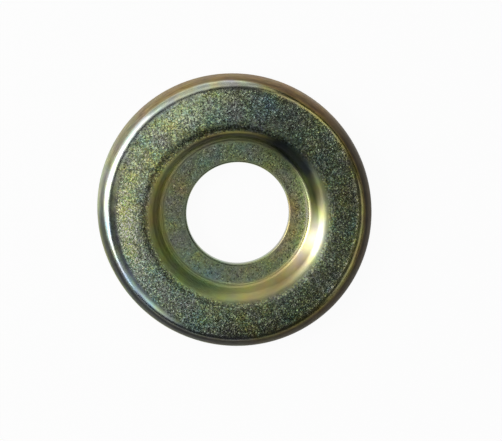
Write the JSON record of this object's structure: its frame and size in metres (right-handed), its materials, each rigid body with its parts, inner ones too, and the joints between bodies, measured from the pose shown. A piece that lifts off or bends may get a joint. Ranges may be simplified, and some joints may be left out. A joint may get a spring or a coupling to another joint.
{
  "type": "belleville washer",
  "caption": "Round spring washer stamped from sheet steel, with a recessed flat seat round its hole, a domed crown and a turned-down rim.",
  "frame": {"origin": "centre of the plane on which the foot of the rim stands", "axes": "+Z along the axis of the hole, towards the crown; X and Y are free, because the washer is round"},
  "size_m": [0.035, 0.035, 0.0036],
  "materials": {
    "yellow_zinc": "zinc plated with an iridescent yellow chromate: grainy on the flats, smooth over the bends"
  },
  "bodies": {
    "root": {"washer": "yellow_zinc"}
  },
  "joints": []
}
